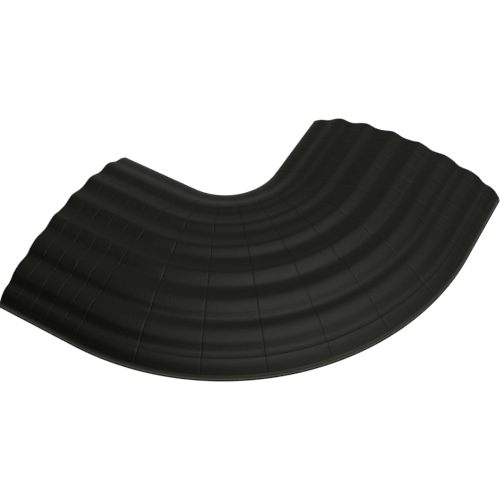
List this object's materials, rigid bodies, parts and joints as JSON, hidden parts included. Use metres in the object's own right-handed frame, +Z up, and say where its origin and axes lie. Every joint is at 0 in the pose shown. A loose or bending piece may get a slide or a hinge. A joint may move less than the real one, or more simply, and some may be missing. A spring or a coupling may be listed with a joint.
{
  "type": "balance pad",
  "caption": "Low crowned, ribbed foam balance pad with a right-angle bend, made of keyed segments on an anti-slip rubber sheet, with a rubber bead along each edge.",
  "frame": {"origin": "middle of the bounding rectangle on the floor plane, which lies on the underside of the pad below the centre wedge", "axes": "+Z up from the floor; +X along the long side, from the left end to the right end; +Y towards the open side of the bend"},
  "size_m": [0.9538, 0.5488, 0.0691],
  "materials": {
    "foam_skin": "semi-matte near-black moulded foam skin with a fine leather grain",
    "bead_rubber": "smooth satin near-black extruded rubber",
    "sheet_rubber": "matt black rubber with a moulded anti-slip pattern on the underside"
  },
  "bodies": {
    "root": {"base_sheet": "sheet_rubber", "inner_edge_bead": "bead_rubber", "outer_edge_bead": "bead_rubber", "left_slat_1": "foam_skin", "left_slat_2": "foam_skin", "left_slat_3": "foam_skin", "left_slat_4": "foam_skin", "left_slat_5": "foam_skin", "right_slat_1": "foam_skin", "right_slat_2": "foam_skin", "right_slat_3": "foam_skin", "right_slat_4": "foam_skin", "right_slat_5": "foam_skin", "bend_wedge_1": "foam_skin", "bend_wedge_2": "foam_skin", "bend_wedge_3": "foam_skin", "bend_wedge_4": "foam_skin", "bend_wedge_5": "foam_skin", "bend_wedge_6": "foam_skin", "bend_wedge_7": "foam_skin"}
  },
  "joints": []
}
